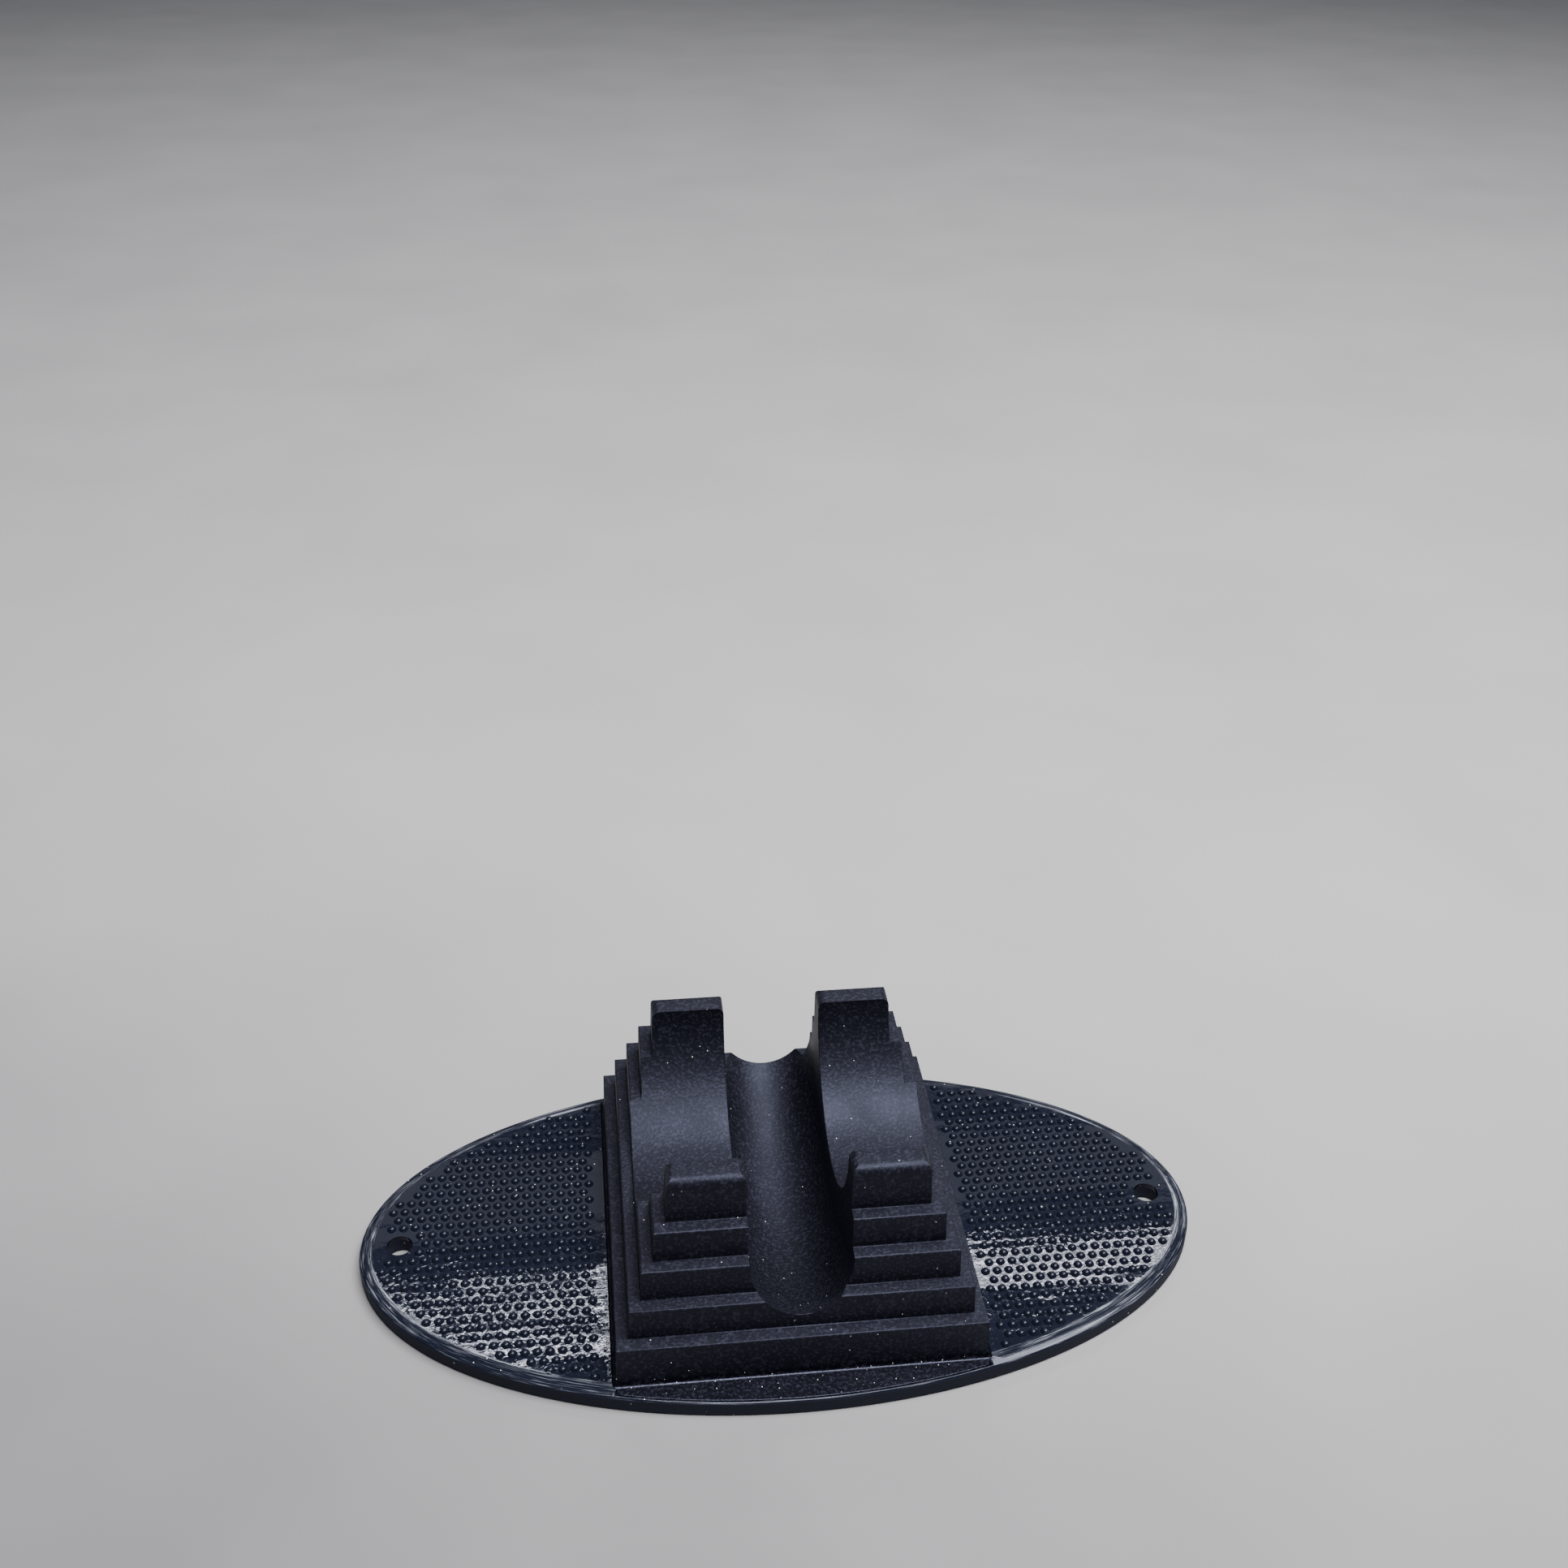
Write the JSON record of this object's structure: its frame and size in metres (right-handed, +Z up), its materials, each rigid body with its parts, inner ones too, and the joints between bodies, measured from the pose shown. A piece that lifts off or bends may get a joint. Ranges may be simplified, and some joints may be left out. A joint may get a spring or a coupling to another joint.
{
  "type": "kick scooter wheel stand",
  "caption": "Low oval floor stand with a stepped cradle and a wheel slot that holds a kick scooter upright by its front wheel",
  "frame": {"origin": "on the floor, under the middle of the oval base plate", "axes": "+X along the oval's long side (right in the picture), +Y the way the wheel rolls (away from the camera), +Z up"},
  "size_m": [0.244, 0.132, 0.06],
  "materials": {
    "base_plastic": "polished injection-moulded plastic, scuffed along its rim",
    "cradle_plastic": "fine spark-textured injection-moulded plastic",
    "screw_steel": "zinc-plated steel",
    "foot_rubber": "die-cut rubber pad"
  },
  "bodies": {
    "root": {"base_plate": "base_plastic", "wheel_cradle": "cradle_plastic", "cradle_screw_1": "screw_steel", "cradle_screw_2": "screw_steel", "cradle_screw_3": "screw_steel", "cradle_screw_4": "screw_steel", "rubber_foot_1": "foot_rubber", "rubber_foot_2": "foot_rubber", "rubber_foot_3": "foot_rubber", "rubber_foot_4": "foot_rubber", "rubber_foot_5": "foot_rubber", "rubber_foot_6": "foot_rubber"}
  },
  "joints": []
}
